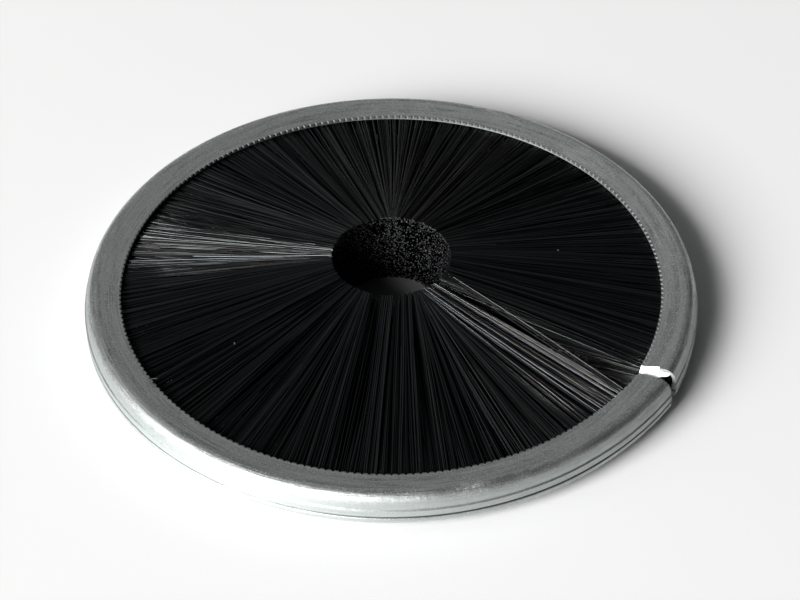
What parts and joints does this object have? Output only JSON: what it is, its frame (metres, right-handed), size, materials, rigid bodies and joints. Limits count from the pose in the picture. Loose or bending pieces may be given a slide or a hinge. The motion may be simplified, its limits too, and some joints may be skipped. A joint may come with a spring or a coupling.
{
  "type": "brush cable grommet",
  "caption": "Open steel ring channel with serrated lips that grips inward black bristles, closing a round opening around passing cables.",
  "frame": {"origin": "centre of the ring, on the surface that the bristle hub stands on", "axes": "+Z along the ring's axis, out of the side where the bristles stand proud most; the ring's open joint lies 29 degrees from +X towards -Y"},
  "size_m": [0.15, 0.15, 0.0171],
  "materials": {
    "galvanised_steel": "satin",
    "wire_steel": "satin",
    "black_filament": "gloss"
  },
  "bodies": {
    "root": {"channel": "galvanised_steel", "core_wire": "wire_steel", "filament_bundle_01": "black_filament", "filament_bundle_02": "black_filament", "filament_bundle_03": "black_filament", "filament_bundle_04": "black_filament", "filament_bundle_05": "black_filament", "filament_bundle_06": "black_filament", "filament_bundle_07": "black_filament", "filament_bundle_08": "black_filament", "filament_bundle_09": "black_filament", "filament_bundle_10": "black_filament", "filament_bundle_11": "black_filament", "filament_bundle_12": "black_filament", "filament_bundle_13": "black_filament", "filament_bundle_14": "black_filament", "filament_bundle_15": "black_filament", "filament_bundle_16": "black_filament", "filament_bundle_17": "black_filament", "filament_bundle_18": "black_filament", "filament_bundle_19": "black_filament", "filament_bundle_20": "black_filament", "filament_bundle_21": "black_filament", "filament_bundle_22": "black_filament", "filament_bundle_23": "black_filament", "filament_bundle_24": "black_filament"}
  },
  "joints": []
}
